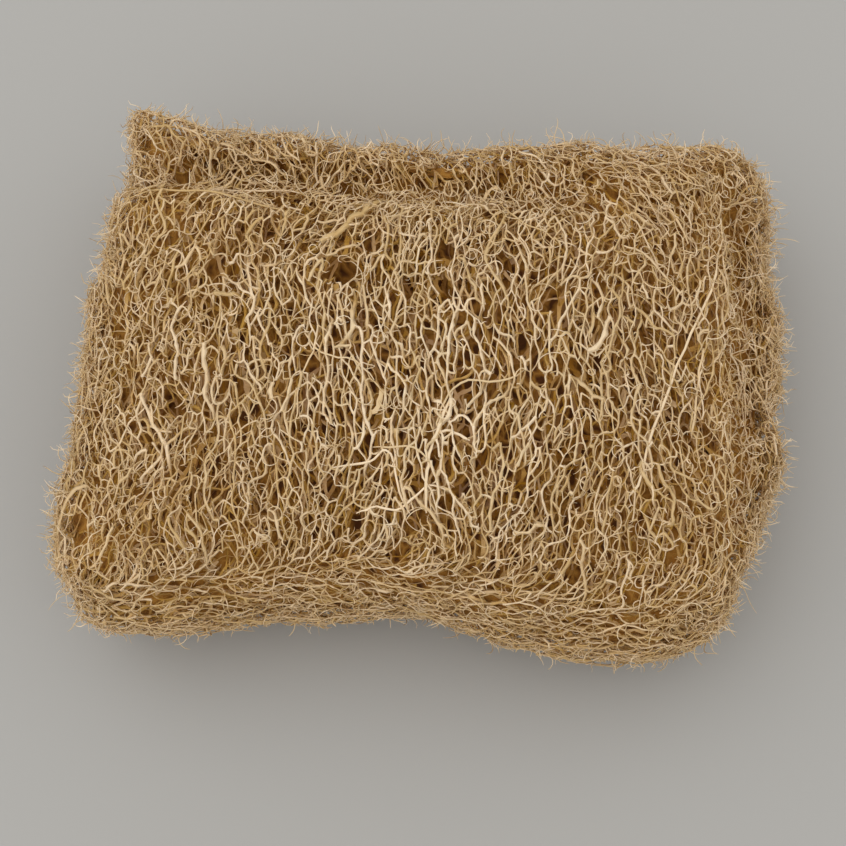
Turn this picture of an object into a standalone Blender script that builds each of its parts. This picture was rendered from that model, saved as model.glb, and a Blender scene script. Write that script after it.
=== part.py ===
"""A cut length of dried loofah gourd, pressed flat, as one solid.

The fibre net is larger than life: raised strands round deep cells all over the form, with
cut fibre ends on the two cut faces. X runs along the gourd and Z is up. The origin is on
the ground under the middle. Sizes are in millimetres until the mesh is made.
"""

import math
import random

import bmesh
import bpy
import numpy as np
from mathutils import Vector, geometry, noise

NAME = "loofah_sponge"
MM = 0.001
SEED = 7

# Overall size
LENGTH = 120.0
WIDTH = 92.0
HEIGHT = 40.0
WAIST = 17.0  # height of the widest line above the ground

# Plan view of the widest line, anticlockwise from the right end: straight folds in front
# and behind, slanting cut ends, and a corner drawn out at the back left
OUTLINE = (
    (59, 1), (58, 24), (57, 35), (52, 41), (36, 43), (8, 43), (-22, 45), (-38, 47),
    (-49, 51), (-50, 40), (-52, 24), (-55, 6), (-57, -12), (-58, -28), (-55, -39),
    (-47, -44), (-20, -41), (2, -42), (16, -46), (38, -47), (48, -42), (53, -28),
    (58, -16), (57, -5),
)
OUTLINE_STEPS = 24
FIBRE_REACH = 6.0  # how much shorter the form is than the sponge, for its cut fibres

# Side profile: a superellipse over and under the waist, rounder at the folded sides in front
# and behind than at the cut ends
FOLD_ABOVE, FOLD_BELOW = 2.7, 3.4
CUT_ABOVE, CUT_BELOW = 4.6, 5.0
CUT_FROM, CUT_BLEND = 0.66, 0.2  # cosine of the plan angle from which an end counts as cut
PROFILE_STEPS = 200
MEAN_RADIUS = 50.0
CROWN_X = 4.0  # how much lower the top is at the ends than in the middle
CROWN_Y = 2.0

# Crease behind the top face, where the wall folds up into a lip
CREASE_LEFT, CREASE_RIGHT = Vector((-46.0, 31.5)), Vector((6.0, 28.0))
CREASE_DEPTH, CREASE_WIDTH, CREASE_FADE = 11.0, 5.4, 26.0

# The right cut face is stepped: the under layer reaches further out than the top layer
STEP_X, STEP_SLOPE, STEP_DROP = 46.0, 6.0, 8.5
STEP_FRONT, STEP_BACK, STEP_FADE = -34.0, 30.0, 8.0
TRENCH_X, TRENCH_WIDTH, TRENCH_DEPTH = 50.5, 3.2, 3.5

# Seam along the lower front left, where the pressed layers part
SEAM_Z, SEAM_WIDTH, SEAM_DEPTH = 11.0, 3.0, 2.6
SEAM_END, SEAM_FADE = 5.0, 20.0

# Lumps that the pressing left
LUMP_SIZE, LUMP_HEIGHT = 24.0, 1.5

# The net: spacing of its cells along X and round the gourd
CELL_X, CELL_Y = 5.0, 9.6
WAIST_STEPS = 2000  # to measure the way round the waist
SAME_PLACE = 1e-5  # cell middles closer than this share of the spacing are one
RIM_CELL = 7.6
JITTER = 0.36
CROSSING = 0.9  # crossings closer than this grow together
RIM_CLEARANCE = 4.2  # between the waist and the nearest middle of a cell of a side

# Its strands and the cells between them
STRAND_HALF = 0.8
STRAND_CREST = 0.6
STRAND_RANGE, STRAND_WAVE = 2.0, 6.0
CELL_DEPTH = (5.0, 7.5)
WIDE_CELL = 3.8  # mean radius from which a cell has its full depth
CORE_INSET = 17.0  # cells sink towards a flat core this far inside the waist
CORE_SHARE = 0.42  # and at most this share of the way to it
STRAND_SHARE = 0.5  # and keep at least this share of their width

# Deep pit in the top face
PIT_CENTRE, PIT_DEPTH = Vector((-12.2, 11.3)), 9.5

# Cut fibre ends on the cut faces
FIBRE_COUNT = 110
FIBRE_LENGTH = (2.2, 4.6)
FIBRE_ROOT = 0.75
FIBRE_TIP = 0.5
FIBRE_STRAY = 0.7
END_FACE_SLOPE = 0.55
LOWEST_FIBRE = 4.0

# Flat rest under the middle: half its length and width
REST_X, REST_Y = 40.0, 27.0

COLOUR = (0.55, 0.40, 0.21, 1.0)
ROUGHNESS = 0.85


def remove_everything():
    for thing in list(bpy.data.objects):
        bpy.data.objects.remove(thing, do_unlink=True)


def smooth_step(value):
    value = np.clip(value, 0.0, 1.0)
    return value * value * (3.0 - 2.0 * value)


def ridge(distance, width):
    return np.exp(-((distance / width) ** 2))


def outline():
    """Angles and radii of the plan outline, as a smooth closed curve."""
    points = np.array(OUTLINE, float)
    before, after = np.roll(points, 1, 0), np.roll(points, -1, 0)
    beyond = np.roll(points, -2, 0)
    curve = []
    for t in np.arange(OUTLINE_STEPS) / OUTLINE_STEPS:
        square = (2 * before - 5 * points + 4 * after - beyond) * t**2
        cube = (3 * points - before - 3 * after + beyond) * t**3
        curve.append((2 * points + (after - before) * t + square + cube) / 2)
    curve = np.concatenate(curve)
    low, high = curve.min(0), curve.max(0)
    size = (LENGTH - FIBRE_REACH, WIDTH)
    curve = (curve - (low + high) / 2) / (high - low) * size
    angle = np.arctan2(curve[:, 1], curve[:, 0])
    order = np.argsort(angle)
    return angle[order], np.hypot(curve[:, 0], curve[:, 1])[order]


OUTLINE_ANGLES, OUTLINE_RADII = outline()


def radius_at(angle):
    return np.interp(angle, OUTLINE_ANGLES, OUTLINE_RADII, period=2 * math.pi)


class Profile:
    """A quarter of a superellipse, from the middle of a side out to the waist."""

    def __init__(self, exponent, rise):
        turn = np.linspace(0.0, math.pi / 2, PROFILE_STEPS)
        self.out = np.sin(turn) ** (2 / exponent)
        self.up = np.cos(turn) ** (2 / exponent)
        steps = np.hypot(np.diff(self.out) * MEAN_RADIUS, np.diff(self.up) * rise)
        arc = np.concatenate([[0.0], np.cumsum(steps)])
        self.share = arc / arc[-1]
        self.wrap = arc[-1] - MEAN_RADIUS

    def at(self, share):
        return np.interp(share, self.share, self.out), np.interp(share, self.share, self.up)


class Side:
    """The upper or the under side of the form."""

    def __init__(self, above):
        self.above = above
        rise = HEIGHT - WAIST if above else WAIST
        self.fold = Profile(FOLD_ABOVE if above else FOLD_BELOW, rise)
        self.cut = Profile(CUT_ABOVE if above else CUT_BELOW, rise)
        self.wrap = self.fold.wrap

    def place(self, flat):
        """Puts points of the side's flat layout on the form."""
        angle = np.arctan2(flat[:, 1], flat[:, 0])
        radius = radius_at(angle)
        share = np.hypot(flat[:, 0], flat[:, 1]) / (radius + self.wrap)
        cut = smooth_step((np.abs(np.cos(angle)) - CUT_FROM) / CUT_BLEND)
        fold_out, fold_up = self.fold.at(share)
        cut_out, cut_up = self.cut.at(share)
        reach = (fold_out + (cut_out - fold_out) * cut) * radius
        rise = fold_up + (cut_up - fold_up) * cut
        x, y = reach * np.cos(angle), reach * np.sin(angle)
        if self.above:
            return np.stack([x, y, WAIST + rise * (top_height(x, y) - WAIST)], 1)
        return np.stack([x, y, WAIST * (1.0 - rise)], 1)


def top_height(x, y):
    """Height of the top face before its rim is rounded."""
    height = HEIGHT - STRAND_CREST - CROWN_X * (x / LENGTH * 2) ** 2
    height -= CROWN_Y * (y / WIDTH * 2) ** 2
    run = (x - CREASE_LEFT.x) / (CREASE_RIGHT.x - CREASE_LEFT.x)
    line = CREASE_LEFT.y + run * (CREASE_RIGHT.y - CREASE_LEFT.y)
    fade = smooth_step((CREASE_RIGHT.x + CREASE_FADE - x) / CREASE_FADE)
    height -= CREASE_DEPTH * ridge(y - line, CREASE_WIDTH) * fade
    front = smooth_step((y - STEP_FRONT) / STEP_FADE)
    between = front * smooth_step((STEP_BACK - y) / STEP_FADE)
    height -= STEP_DROP * smooth_step((x - STEP_X) / STEP_SLOPE) * between
    height -= TRENCH_DEPTH * ridge(x - TRENCH_X, TRENCH_WIDTH) * between
    return height


def waist_angles(draw):
    """Angles of evenly spaced points round the waist."""
    angle = np.linspace(-math.pi, math.pi, WAIST_STEPS)
    x, y = radius_at(angle) * np.cos(angle), radius_at(angle) * np.sin(angle)
    run = np.concatenate([[0.0], np.cumsum(np.hypot(np.diff(x), np.diff(y)))])
    count = int(run[-1] / RIM_CELL)
    at = [(k + draw.uniform(0.0, JITTER)) / count * run[-1] for k in range(count)]
    return np.interp(np.array(at), run, angle)


def flat_layout(side, rim, draw):
    """Middles of one side's cells, with the side rolled out into a plane."""
    edge = radius_at(rim) + side.wrap
    points = list(zip(edge * np.cos(rim), edge * np.sin(rim)))
    columns = int((LENGTH / 2 + side.wrap) / CELL_X) + 1
    rows = int((WIDTH / 2 + side.wrap) / CELL_Y) + 1
    for i in range(-columns, columns + 1):
        for j in range(-rows, rows + 1):
            x = (i + draw.uniform(-JITTER, JITTER)) * CELL_X
            y = (j + i % 2 / 2 + draw.uniform(-JITTER, JITTER)) * CELL_Y
            edge = radius_at(math.atan2(y, x)) + side.wrap
            if math.hypot(x, y) < edge - RIM_CLEARANCE:
                points.append((x, y))
    return np.array(points)


def triangles_between(points, rim_count):
    """Triangles between the points of a flat layout, inside its rim."""
    scaled = [Vector((x / CELL_X, y / CELL_Y)) for x, y in points]
    rim = [(k, (k + 1) % rim_count) for k in range(rim_count)]
    result = geometry.delaunay_2d_cdt(scaled, rim, [], 1, SAME_PLACE)
    source = [group[0] for group in result[3]]
    return [[source[k] for k in face] for face in result[2]]


def triangulated_form(draw):
    """The whole form in triangles, with one corner for each cell of the net."""
    form = bmesh.new()
    rim = waist_angles(draw)
    waist = None
    for above in (True, False):
        side = Side(above)
        flat = flat_layout(side, rim, draw)
        places = side.place(flat)
        waist = waist or [form.verts.new(p) for p in places[: len(rim)]]
        corners = waist + [form.verts.new(p) for p in places[len(rim) :]]
        for face in triangles_between(flat, len(rim)):
            form.faces.new([corners[k] for k in (face if above else face[::-1])])
    bmesh.ops.recalc_face_normals(form, faces=form.faces)
    return form


def cell_net(form):
    """The dual of the triangles: one many-sided cell round each corner."""
    net = bmesh.new()
    middles = [net.verts.new(face.calc_center_median()) for face in form.faces]
    form.faces.index_update()
    for corner in form.verts:
        loop = corner.link_loops[0]
        around = []
        for _ in corner.link_faces:
            around.append(middles[loop.face.index])
            loop = loop.link_loop_prev.link_loop_radial_next
        net.faces.new(around)
    bmesh.ops.remove_doubles(net, verts=net.verts, dist=CROSSING)
    bmesh.ops.recalc_face_normals(net, faces=net.faces)
    return net


def press(net):
    """Gives the net its lumps, the front seam, uneven strands and the flat rest."""
    net.normal_update()
    moves = []
    for vert in net.verts:
        away = LUMP_HEIGHT * noise.noise(vert.co / LUMP_SIZE)
        away += STRAND_CREST + STRAND_RANGE * noise.noise(vert.co / STRAND_WAVE)
        if vert.co.y < 0:
            along = smooth_step((SEAM_END - vert.co.x) / SEAM_FADE)
            away -= SEAM_DEPTH * ridge(vert.co.z - SEAM_Z, SEAM_WIDTH) * along
        moves.append(vert.normal * float(away))
    for vert, move in zip(net.verts, moves):
        vert.co += move
        over_rest = math.hypot(vert.co.x / REST_X, vert.co.y / REST_Y) < 1.0
        rests = over_rest and vert.co.z < WAIST / 2
        vert.co.z = 0.0 if rests else max(vert.co.z, 0.0)


def fibre_roots(net, draw):
    """Small triangles cut from some of the net's crossings on the cut faces."""
    net.normal_update()
    ends = []
    for vert in net.verts:
        if abs(vert.normal.x) > END_FACE_SLOPE and vert.co.z > LOWEST_FIBRE:
            ends.append(vert)
    cut = bmesh.ops.bevel(
        net,
        geom=draw.sample(ends, min(FIBRE_COUNT, len(ends))),
        offset=FIBRE_ROOT,
        offset_type="OFFSET",
        segments=1,
        affect="VERTICES",
    )
    return [face for face in cut["faces"] if len(face.verts) == 3]


def to_core(place):
    """The way from a place on the form to the flat core that its cells sink towards."""
    angle = math.atan2(place.y, place.x)
    reach = min(place.xy.length, radius_at(angle) - CORE_INSET)
    return Vector((reach * math.cos(angle), reach * math.sin(angle), WAIST)) - place


def sink_cells(net, cells, draw):
    """Leaves a strand along every edge of the net and a deep pit in every cell."""
    net.normal_update()
    upper = [cell for cell in cells if cell.calc_center_median().z > WAIST]
    pit = min(upper, key=lambda cell: (cell.calc_center_median().xy - PIT_CENTRE).length)
    for cell in cells:
        middle = cell.calc_center_median()
        inward = to_core(middle)
        radius = sum((v.co - middle).length for v in cell.verts) / len(cell.verts)
        depth = draw.uniform(*CELL_DEPTH) * min(1.0, radius / WIDE_CELL)
        if cell is pit:
            depth = PIT_DEPTH
        depth = min(depth, CORE_SHARE * inward.length)
        inward.normalize()
        floor = bmesh.ops.extrude_discrete_faces(net, faces=[cell])["faces"][0]
        keep = 1.0 - min(STRAND_SHARE, STRAND_HALF / radius)
        for vert in floor.verts:
            crest = STRAND_CREST if vert.co.z > 0.0 else 0.0
            vert.co = middle + (vert.co - middle) * keep + inward * crest
        bottom = bmesh.ops.poke(net, faces=[floor])["verts"][0]
        bottom.co = middle + inward * depth


def grow_fibres(net, roots, draw):
    """Draws each root out into a slim fibre."""
    for root in roots:
        direction = root.normal + Vector((math.copysign(1.0, root.normal.x), 0.0, 0.0))
        direction += Vector([draw.uniform(-FIBRE_STRAY, FIBRE_STRAY) for _ in range(3)])
        away = direction.normalized() * draw.uniform(*FIBRE_LENGTH)
        tip = bmesh.ops.extrude_discrete_faces(net, faces=[root])["faces"][0]
        middle = tip.calc_center_median()
        for vert in tip.verts:
            vert.co = middle + (vert.co - middle) * FIBRE_TIP + away


def fit_to_size(net):
    """Scales the sponge to its length, width and height, standing over the origin."""
    places = np.array([vert.co for vert in net.verts])
    low, high = places.min(0), places.max(0)
    scale = np.array((LENGTH, WIDTH, HEIGHT)) / (high - low)
    ground = np.array(((low[0] + high[0]) / 2, (low[1] + high[1]) / 2, low[2]))
    for vert, place in zip(net.verts, (places - ground) * scale * MM):
        vert.co = place


def fibre_net():
    draw = random.Random(SEED)
    form = triangulated_form(draw)
    net = cell_net(form)
    form.free()
    press(net)
    low = [face for face in net.faces if face.calc_center_median().z < WAIST / 2]
    rest = min(low, key=lambda face: face.calc_center_median().xy.length)
    roots = fibre_roots(net, draw)
    kept = {rest, *roots}
    sink_cells(net, [face for face in net.faces if face not in kept], draw)
    grow_fibres(net, roots, draw)
    fit_to_size(net)
    bmesh.ops.triangulate(net, faces=net.faces)
    return net


def dried_fibre():
    material = bpy.data.materials.new("dried_fibre")
    material.use_nodes = True
    shader = material.node_tree.nodes["Principled BSDF"]
    shader.inputs["Base Color"].default_value = COLOUR
    shader.inputs["Roughness"].default_value = ROUGHNESS
    shader.inputs["Metallic"].default_value = 0.0
    return material


def main():
    remove_everything()
    collection = bpy.data.collections.new(NAME)
    bpy.context.scene.collection.children.link(collection)
    net = fibre_net()
    mesh = bpy.data.meshes.new(NAME)
    net.to_mesh(mesh)
    net.free()
    mesh.shade_smooth()
    mesh.materials.append(dried_fibre())
    collection.objects.link(bpy.data.objects.new(NAME, mesh))


main()
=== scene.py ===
"""The looks of a pressed loofah sponge: a net of dried fibres, grown as one piece.

Sizes are in millimetres until a mesh is made. A side of the sponge, upper or under, is laid out
flat, fibre crossings are scattered over it in layers, and each crossing is joined to its nearest
neighbours by curved fibres, which run on through it as strands.
"""

import math

import bpy
import numpy as np
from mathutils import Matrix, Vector, kdtree, noise


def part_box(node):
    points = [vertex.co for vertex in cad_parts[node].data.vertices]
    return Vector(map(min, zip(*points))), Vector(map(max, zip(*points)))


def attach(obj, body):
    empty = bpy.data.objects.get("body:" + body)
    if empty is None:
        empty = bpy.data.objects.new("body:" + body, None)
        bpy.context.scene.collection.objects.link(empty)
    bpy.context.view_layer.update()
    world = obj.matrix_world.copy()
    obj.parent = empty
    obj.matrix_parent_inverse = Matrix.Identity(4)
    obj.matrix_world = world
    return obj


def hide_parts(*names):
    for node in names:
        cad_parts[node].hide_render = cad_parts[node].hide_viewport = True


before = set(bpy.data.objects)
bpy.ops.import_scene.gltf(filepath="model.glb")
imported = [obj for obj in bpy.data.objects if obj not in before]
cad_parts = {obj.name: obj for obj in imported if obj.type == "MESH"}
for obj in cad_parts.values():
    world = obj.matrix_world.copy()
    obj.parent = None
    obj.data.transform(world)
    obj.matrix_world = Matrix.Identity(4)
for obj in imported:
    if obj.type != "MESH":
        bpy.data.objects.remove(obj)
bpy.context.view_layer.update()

NODE = "loofah_sponge"
BODY = "root"
MM = 0.001
SEED = 7
RNG = np.random.default_rng(SEED)
FIELD_SHIFT = (17.3, -9.1, 5.7)  # from one field of smooth noise to the next
# Numbers of those fields
LUMPS, WIDE_TURNS, NARROW_TURNS, END_TURNS = 0, 1, 2, 3
STRETCHES, CORE_LUMPS, ROUGH_PATCHES, KNOBS = 4, 6, 8, 9
LEAST = 1e-9  # that anything is divided by

# The form, as the construction has it, but with a shallower crease and trench
LENGTH, WIDTH, HEIGHT = 120.0, 92.0, 40.0
WAIST = 17.0  # height of the widest line
OUTLINE = (
    (59, 1), (58, 24), (57, 35), (52, 41), (36, 43), (8, 43), (-22, 45), (-38, 47),
    (-49, 51), (-50, 40), (-52, 24), (-55, 6), (-57, -12), (-58, -28), (-55, -39),
    (-47, -44), (-20, -41), (2, -42), (16, -46), (38, -47), (48, -42), (53, -28),
    (58, -16), (57, -5),
)
OUTLINE_STEPS = 24
FIBRE_REACH = 6.0  # how much shorter the outline is than the sponge, whose cut fibres stand out
# Exponents of the side profile at the folds and at the cut ends, over and under the waist
FOLD_ABOVE, FOLD_BELOW = 2.7, 3.4
CUT_ABOVE, CUT_BELOW = 4.6, 5.0
CUT_FROM, CUT_BLEND = 0.66, 0.2  # cosine of the plan angle from which an end counts as cut
PROFILE_STEPS = 200
MEAN_RADIUS = 50.0
CROWN_X, CROWN_Y = 4.0, 2.0  # how much lower the top is at the ends and at the folds
CREASE_LEFT, CREASE_RIGHT = (-46.0, 31.5), (6.0, 28.0)
CREASE_DEPTH, CREASE_WIDTH, CREASE_FADE = 7.0, 4.2, 26.0
STEP_X, STEP_SLOPE, STEP_DROP = 46.0, 6.0, 8.5
STEP_FRONT, STEP_BACK, STEP_FADE = -34.0, 30.0, 8.0
TRENCH_X, TRENCH_WIDTH, TRENCH_DEPTH = 50.5, 3.2, 1.5
SEAM_Z, SEAM_WIDTH, SEAM_DEPTH = 11.0, 3.0, 2.6
SEAM_END, SEAM_FADE = 5.0, 20.0
LUMP_SIZE, LUMP_HEIGHT = 24.0, 1.5
KNOB_SIZE, KNOB_HEIGHT = 7.0, 1.4  # smaller lumps than the construction's
END_REACH = (3.0, 1.4)  # how far the loose fibre ends stand out of the cut faces
SLOPE_STEP = 0.3  # distance over which the slope of the form is taken
RIM_SHARE = 0.98  # how far out it is taken at the most
SPARE_ROWS = 2  # of scattered points, beyond the rim
FIT_SPACING = 2.0  # between the points that fit the form to the node's box

# Where faces begin, as cosines of their normals: top, under side, ground, cut ends, upper side
FACING_BLEND = 0.3
TOP_FACE, UNDER_FACE, REST_FACE, END_FACE = 0.5, -0.5, -0.8, 0.6
UPPER_FACE, LOOSE_UPPER_FACE = 0.3, 0.4

# The calm middle of the top, where the strands are long and even
CALM_X, CALM_Y = 4.0, -8.0
CALM_LENGTH, CALM_WIDTH = 40.0, 27.0

# Grain: how far it swings and over what distance
WIDE_SWING, WIDE_SIZE = 0.8, 13.0
NARROW_SWING, NARROW_SIZE = 0.9, 5.0
END_SWING, END_SIZE = 1.2, 6.0
CALM_STEADY = 0.72  # share of the swing that the calm middle loses
BACK_FROM, BACK_FADE, BACK_TURN = 27.0, 5.0, 0.5  # how the grain leans on the lip at the back
FRONT_FACE, SWING_FACE = 0.45, 0.5

# How much longer than wide the cells are, and what is added on the top, in its middle and in front
CELL_STRETCH, TOP_STRETCH, CALM_STRETCH, FRONT_STRETCH = 1.4, 0.9, 0.7, 0.6
STRETCH_SPREAD, STRETCH_SIZE = 0.45, 9.0
LEAST_STRETCH, MOST_STRETCH = 1.0, 3.2

# Layers of crossings: spacing across and along the grain, and depths
LAYERS = (
    (0.86, 1.65, 0.0, 0.5),
    (0.9, 1.6, 0.9, 1.7),
    (1.2, 2.0, 2.0, 3.1),
    (1.8, 2.5, 3.7, 5.2),
)
UNDER_SPACING = 1.15  # how much wider the spacing is on the under side
# Shares of the crossings left out in the calm middle of the top: surface and deeper layers
SURFACE_THINNED, DEEPER_THINNED = 0.14, 0.38
REST_SHARE = 0.72  # share of the crossings that is kept in the face on the ground
JITTER = 0.46
NEIGHBOURS = 22  # crossings that a crossing may be linked to
DEPTH_WEIGHT = 1.3  # how much longer a distance counts when it goes inwards
LONGEST_LINK = 2.8
SAME_LENGTH = 1e-6
BLOCK = 4000  # crossings that are compared at a time

# Strands: the highest cosine between two links that run on into each other, and how much the
# others keep to their own way and lean towards the strand
THROUGH_COSINE = -0.25
BRANCH_OWN, BRANCH_LEAN = 0.7, 0.5
WAVE = 0.38  # how much strands swing at their crossings
BEND = 1.15  # how strongly a link leaves its crossings along the strand
FLARE_POWER = 3
# Lengths from which a link has two and three steps, and where it has two at the least
SHORT_LINK, MIDDLE_LINK = 1.3, 2.6
FINE_DEPTH, FINE_LINK = 1.2, 0.8

# Painted shade by depth: deeper fibres get darker colours that stand in for the shade inside the net
DEEPEST = 6.0
LEAST_SHADE_SHARE = -0.2  # share of that depth at which ends that stand out are palest, painted as catching more light than the net
OFF_MIDDLE_DARKENING = 0.10  # painted shade: how much darker the surface is made away from the calm middle of the top
OFF_MIDDLE_SHADE_SHARE = 0.42  # share of the painted depth shade kept there, where 1 is as dark as in the middle

# Fibre radii
FIBRE_RADIUS, FIBRE_SPREAD = 0.119, 0.32
# Thick strands: the share that the calm middle adds, how much of it is there elsewhere, the
# links that one has more of, its radius and the spread of that
THICK_SHARE, THICK_REST, THICK_LINKS = 0.1, 0.4, 2
THICK_RADIUS, THICK_SPREAD = 0.23, (0.85, 1.2)
CALM_GAIN = 0.42  # how much thicker fibres are in the calm middle of the top
INNER_RADIUS = 0.14
UNEVEN, FLARE = 0.1, 0.1  # how much a radius varies, and grows towards a crossing
FLAT_FLARE, FLAT_END, THIN_END = 0.35, 1.6, 0.9  # how fibres flatten there and at their ends
# Strands deeper than this are flat strips that face outwards: on the top, and elsewhere
STRIP_TOP, STRIP_REST = 2.0, 1.0
TIP_RADIUS = 0.03
TUBE_SIDES, LONG_SIDES, STRIP_SIDES = 3, 5, 2  # corners across tubes, long strands and strips
UPRIGHT = 0.9  # cosine from which a fibre stands along the normal, which is then tilted
TILT = (0.7, 0.4, 0.2)

# The open pit left of the middle, the matted fibres that close the view, and small holes
PIT_CENTRE, PIT_RADIUS, PIT_DEPTH = (-12.2, 11.3), 2.2, 4.5
CORE_DEPTH = 5.6
CORE_RIM, CORE_RIM_FROM, CORE_RIM_FADE = 0.5, 0.5, 0.3  # share of the depth lost at the waist
CORE_PIT_DEPTH, CORE_PIT_WIDTH = 5.0, 4.0
CORE_LUMP_HEIGHT, CORE_LUMP_SIZE = 0.8, 3.0
CORE_RINGS, CORE_SPOKES = 32, 130
HOLE_COUNT, HOLE_RADIUS, HOLE_DEPTH = 240, (0.8, 1.5), 2.2

# Shares of links that are cut through: in the calm middle of the top, and elsewhere
CUT_CALM, CUT_WILD = 0.04, 0.09
CUT_DEPTH = 2.0  # links deeper than this stay whole
# Ends of short and long cut links: length, and then total turn, radius, steps and flatness
LONG_CUT = 2.0
SHORT_END, LONG_END = (0.5, 1.4), (0.9, 2.2)
CUT_BEND, CUT_RADIUS, CUT_STEPS, CUT_FLATNESS = 1.2, (0.11, 0.19), 3, 0.1
CUT_STRAY, CUT_LEAN = 0.25, 0.4

# Loose ends: number, length, total turn, radius, steps, and how far they lean out
TIPS = (2400, (0.8, 2.4), 1.3, (0.085, 0.14), 3, 0.5)
HOOKS = (2600, (2.0, 5.0), 2.5, (0.085, 0.13), 6, 0.35)
CURLS = (600, (3.5, 7.0), 6.5, (0.09, 0.14), 9, 0.15)
END_TIPS = (3800, (1.2, 4.2), 3.4, (0.075, 0.125), 4, 0.9)
FUZZ = (4600, (0.8, 2.4), 2.4, (0.045, 0.075), 3, 0.7)
HAIRS = (170, (2.5, 7.0), 4.0, (0.075, 0.115), 7, 1.1)
LOOSE_DEPTH = 1.2  # crossings deeper than this have none
LOOSE_CALM = 0.75  # share of them that the calm middle loses
LOWER_FACE, LOWER_SHARE = -0.3, 0.45
ROUGH, ROUGH_SIZE = 0.5, 7.0
LOOSE_END_FACE, LOOSE_BACK_FACE, BACK_SHARE = 0.45, 0.3, 0.5
LEAN_SPREAD = (0.4, 1.2)
FLAT_LEAN, FLATNESS = 0.4, 0.35  # ends that lean out less than this are kept flat on the net
AXIS_SPREAD, BEND_SPREAD, STEP_SPREAD = 0.45, 0.35, (0.6, 1.4)
TIP_TAPER = 0.45
LEAST_HEIGHT = 0.12

# Long strands that run over the net, as places on the top face, and their radius
MARKED_STRANDS = (
    (((46, 14), (44.5, 8.5), (41, 1), (37, -9), (34, -16), (32.5, -22), (30, -25.5)), 0.17),
    (((43, -1), (42, -8), (41, -14.5)), 0.16),
    (((4.5, -9), (2, -15.5), (1, -18.5), (0.5, -22), (0.5, -27)), 0.22),
    (((2, -15.5), (4, -15), (7, -16.5)), 0.18),
    (((-14, -20.5), (-8, -19.5), (-6, -18), (-4.5, -19), (-3.5, -24), (-2, -27)), 0.15),
    (((-10, -27), (-7, -26), (-4, -26.5), (-1, -24.5), (1, -23), (4, -24)), 0.15),
    (((-46, 25.5), (-39.5, 26), (-32, 25), (-26.5, 23.5), (-22.5, 22.5)), 0.15),
    (((-35.5, 24), (-30.5, 28), (-25.5, 27.5), (-19.5, 26)), 0.15),
    (((-49, -13.5), (-48, -16.5), (-46.5, -16), (-45, -12.5), (-42.5, -9.5)), 0.16),
    (((-42, -9.5), (-41, -13.5), (-38, -14.5)), 0.16),
    (((34, 29.5), (36, 26), (38.5, 23.5), (41.5, 16.5)), 0.16),
    (((30.5, 15), (35, 13), (41, 6.5)), 0.15),
)
MARKED_LIFT, MARKED_STEPS, MARKED_JITTER = -0.25, 4, 0.06

# The other long strands
LONG_STRANDS, UNDER_EVERY = 44, 4  # their number, and how often one lies on the under side
START_SPACING = 9.0
STRAND_RADIUS, STRAND_LIFT = (0.09, 0.14), -0.2
STRAND_STEPS, STRAND_STEP, STRAND_TURN = (5, 18), 1.3, 0.32
STRAND_RIM = 0.97  # how far out they may reach
STRAND_END, STRAND_DIP, STRAND_TIP = 0.12, 0.35, 0.45  # share, depth and thickness of their ends
STRAND_UNEVEN, STRAND_WIDE = 0.08, 1.25
SWAY, SWAYS = (-0.2, 0.15), 6

# Map of a mesh's strips: proportions, room to spare, gap between strips and share of a row
MAP_SHAPE, MAP_SLACK, MAP_GAP, MAP_MARGIN = 1.1, 1.12, 0.3, 1.0
LEAST_ROWS = 4
ROW_START, ROW_SHARE = 0.1, 0.8

# Space of the streaks: its scale along and across a fibre, and the shift between fibres
STREAK_RUN, STREAK_ROUND, STREAK_SHIFT = 0.35, 6.0, 97.0

# Colours with painted shade: darker with depth in the net, and in the matted fibres darker away from a
# strand, for the shade deep inside
FIBRE_AND_SHADE_COLOURS = (
    (0.0, (0.95, 0.75, 0.485)), (0.2, (0.66, 0.41, 0.14)),
    (0.5, (0.47, 0.23, 0.045)), (1.0, (0.33, 0.125, 0.008)),
)
CORE_SHADE_COLOURS = ((0.0, (0.5, 0.245, 0.04)), (0.08, (0.36, 0.155, 0.018)), (0.2, (0.11, 0.033, 0.002)))
SHADE_FROM, SHADE_TO = (0.3, 1.7), (0.74, 1.18)  # brightness from tint and blotches
SATURATION = (1.16, 0.8)  # by tint
FIBRE_ROUGHNESS, FIBRE_SHINE, CORE_ROUGHNESS, FLOOR_ROUGHNESS = 0.62, 0.35, 0.9, 0.7
# Noise as scale and detail, and bumps as strength and distance
BLOTCHES, STREAKS, WANDER = (260.0, 3.0), (2.2, 4.0), (300.0, 2.0)
STREAK_BUMP, CORE_BUMP = (0.5, 0.00006), (1.0, 0.0006)
# Cells of the matted fibres: how far they wander, how long they are and their scale
CELL_SHIFT, CELL_SQUASH, CELL_SCALE = (0.003, 0.003, 0.003), (1.0, 0.55, 1.0), 520.0
FLOOR_COLOUR = (0.441, 0.438, 0.424)

# Stage, in metres, watts and degrees, with the lens in millimetres
FLOOR_SIZE = 4.0
KEY_PLACE, KEY_SIZE, KEY_POWER = (-0.6, 0.1, 0.9), 1.4, 2.85
SKY_COLOUR, SKY_STRENGTH = (1.0, 0.98, 0.95, 1.0), 0.85
CAMERA_ELEVATION, CAMERA_DISTANCE = 72.0, 0.32
CAMERA_TARGET = (0.0, -0.0063, 0.015)
CAMERA_LENS, CAMERA_SENSOR = 84.0, 36.0


def smooth_step(value):
    value = np.clip(value, 0.0, 1.0)
    return value * value * (3.0 - 2.0 * value)


def facing(cosine, start):
    """How far a face is turned some way: 0 up to the starting cosine, and 1 a little beyond."""
    return smooth_step((cosine - start) / FACING_BLEND)


def ridge(distance, width):
    return np.exp(-((distance / width) ** 2))


def unit(vectors):
    length = np.linalg.norm(vectors, axis=-1, keepdims=True)
    return vectors / np.maximum(length, LEAST)


def dot(a, b):
    return np.sum(a * b, -1)


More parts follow.
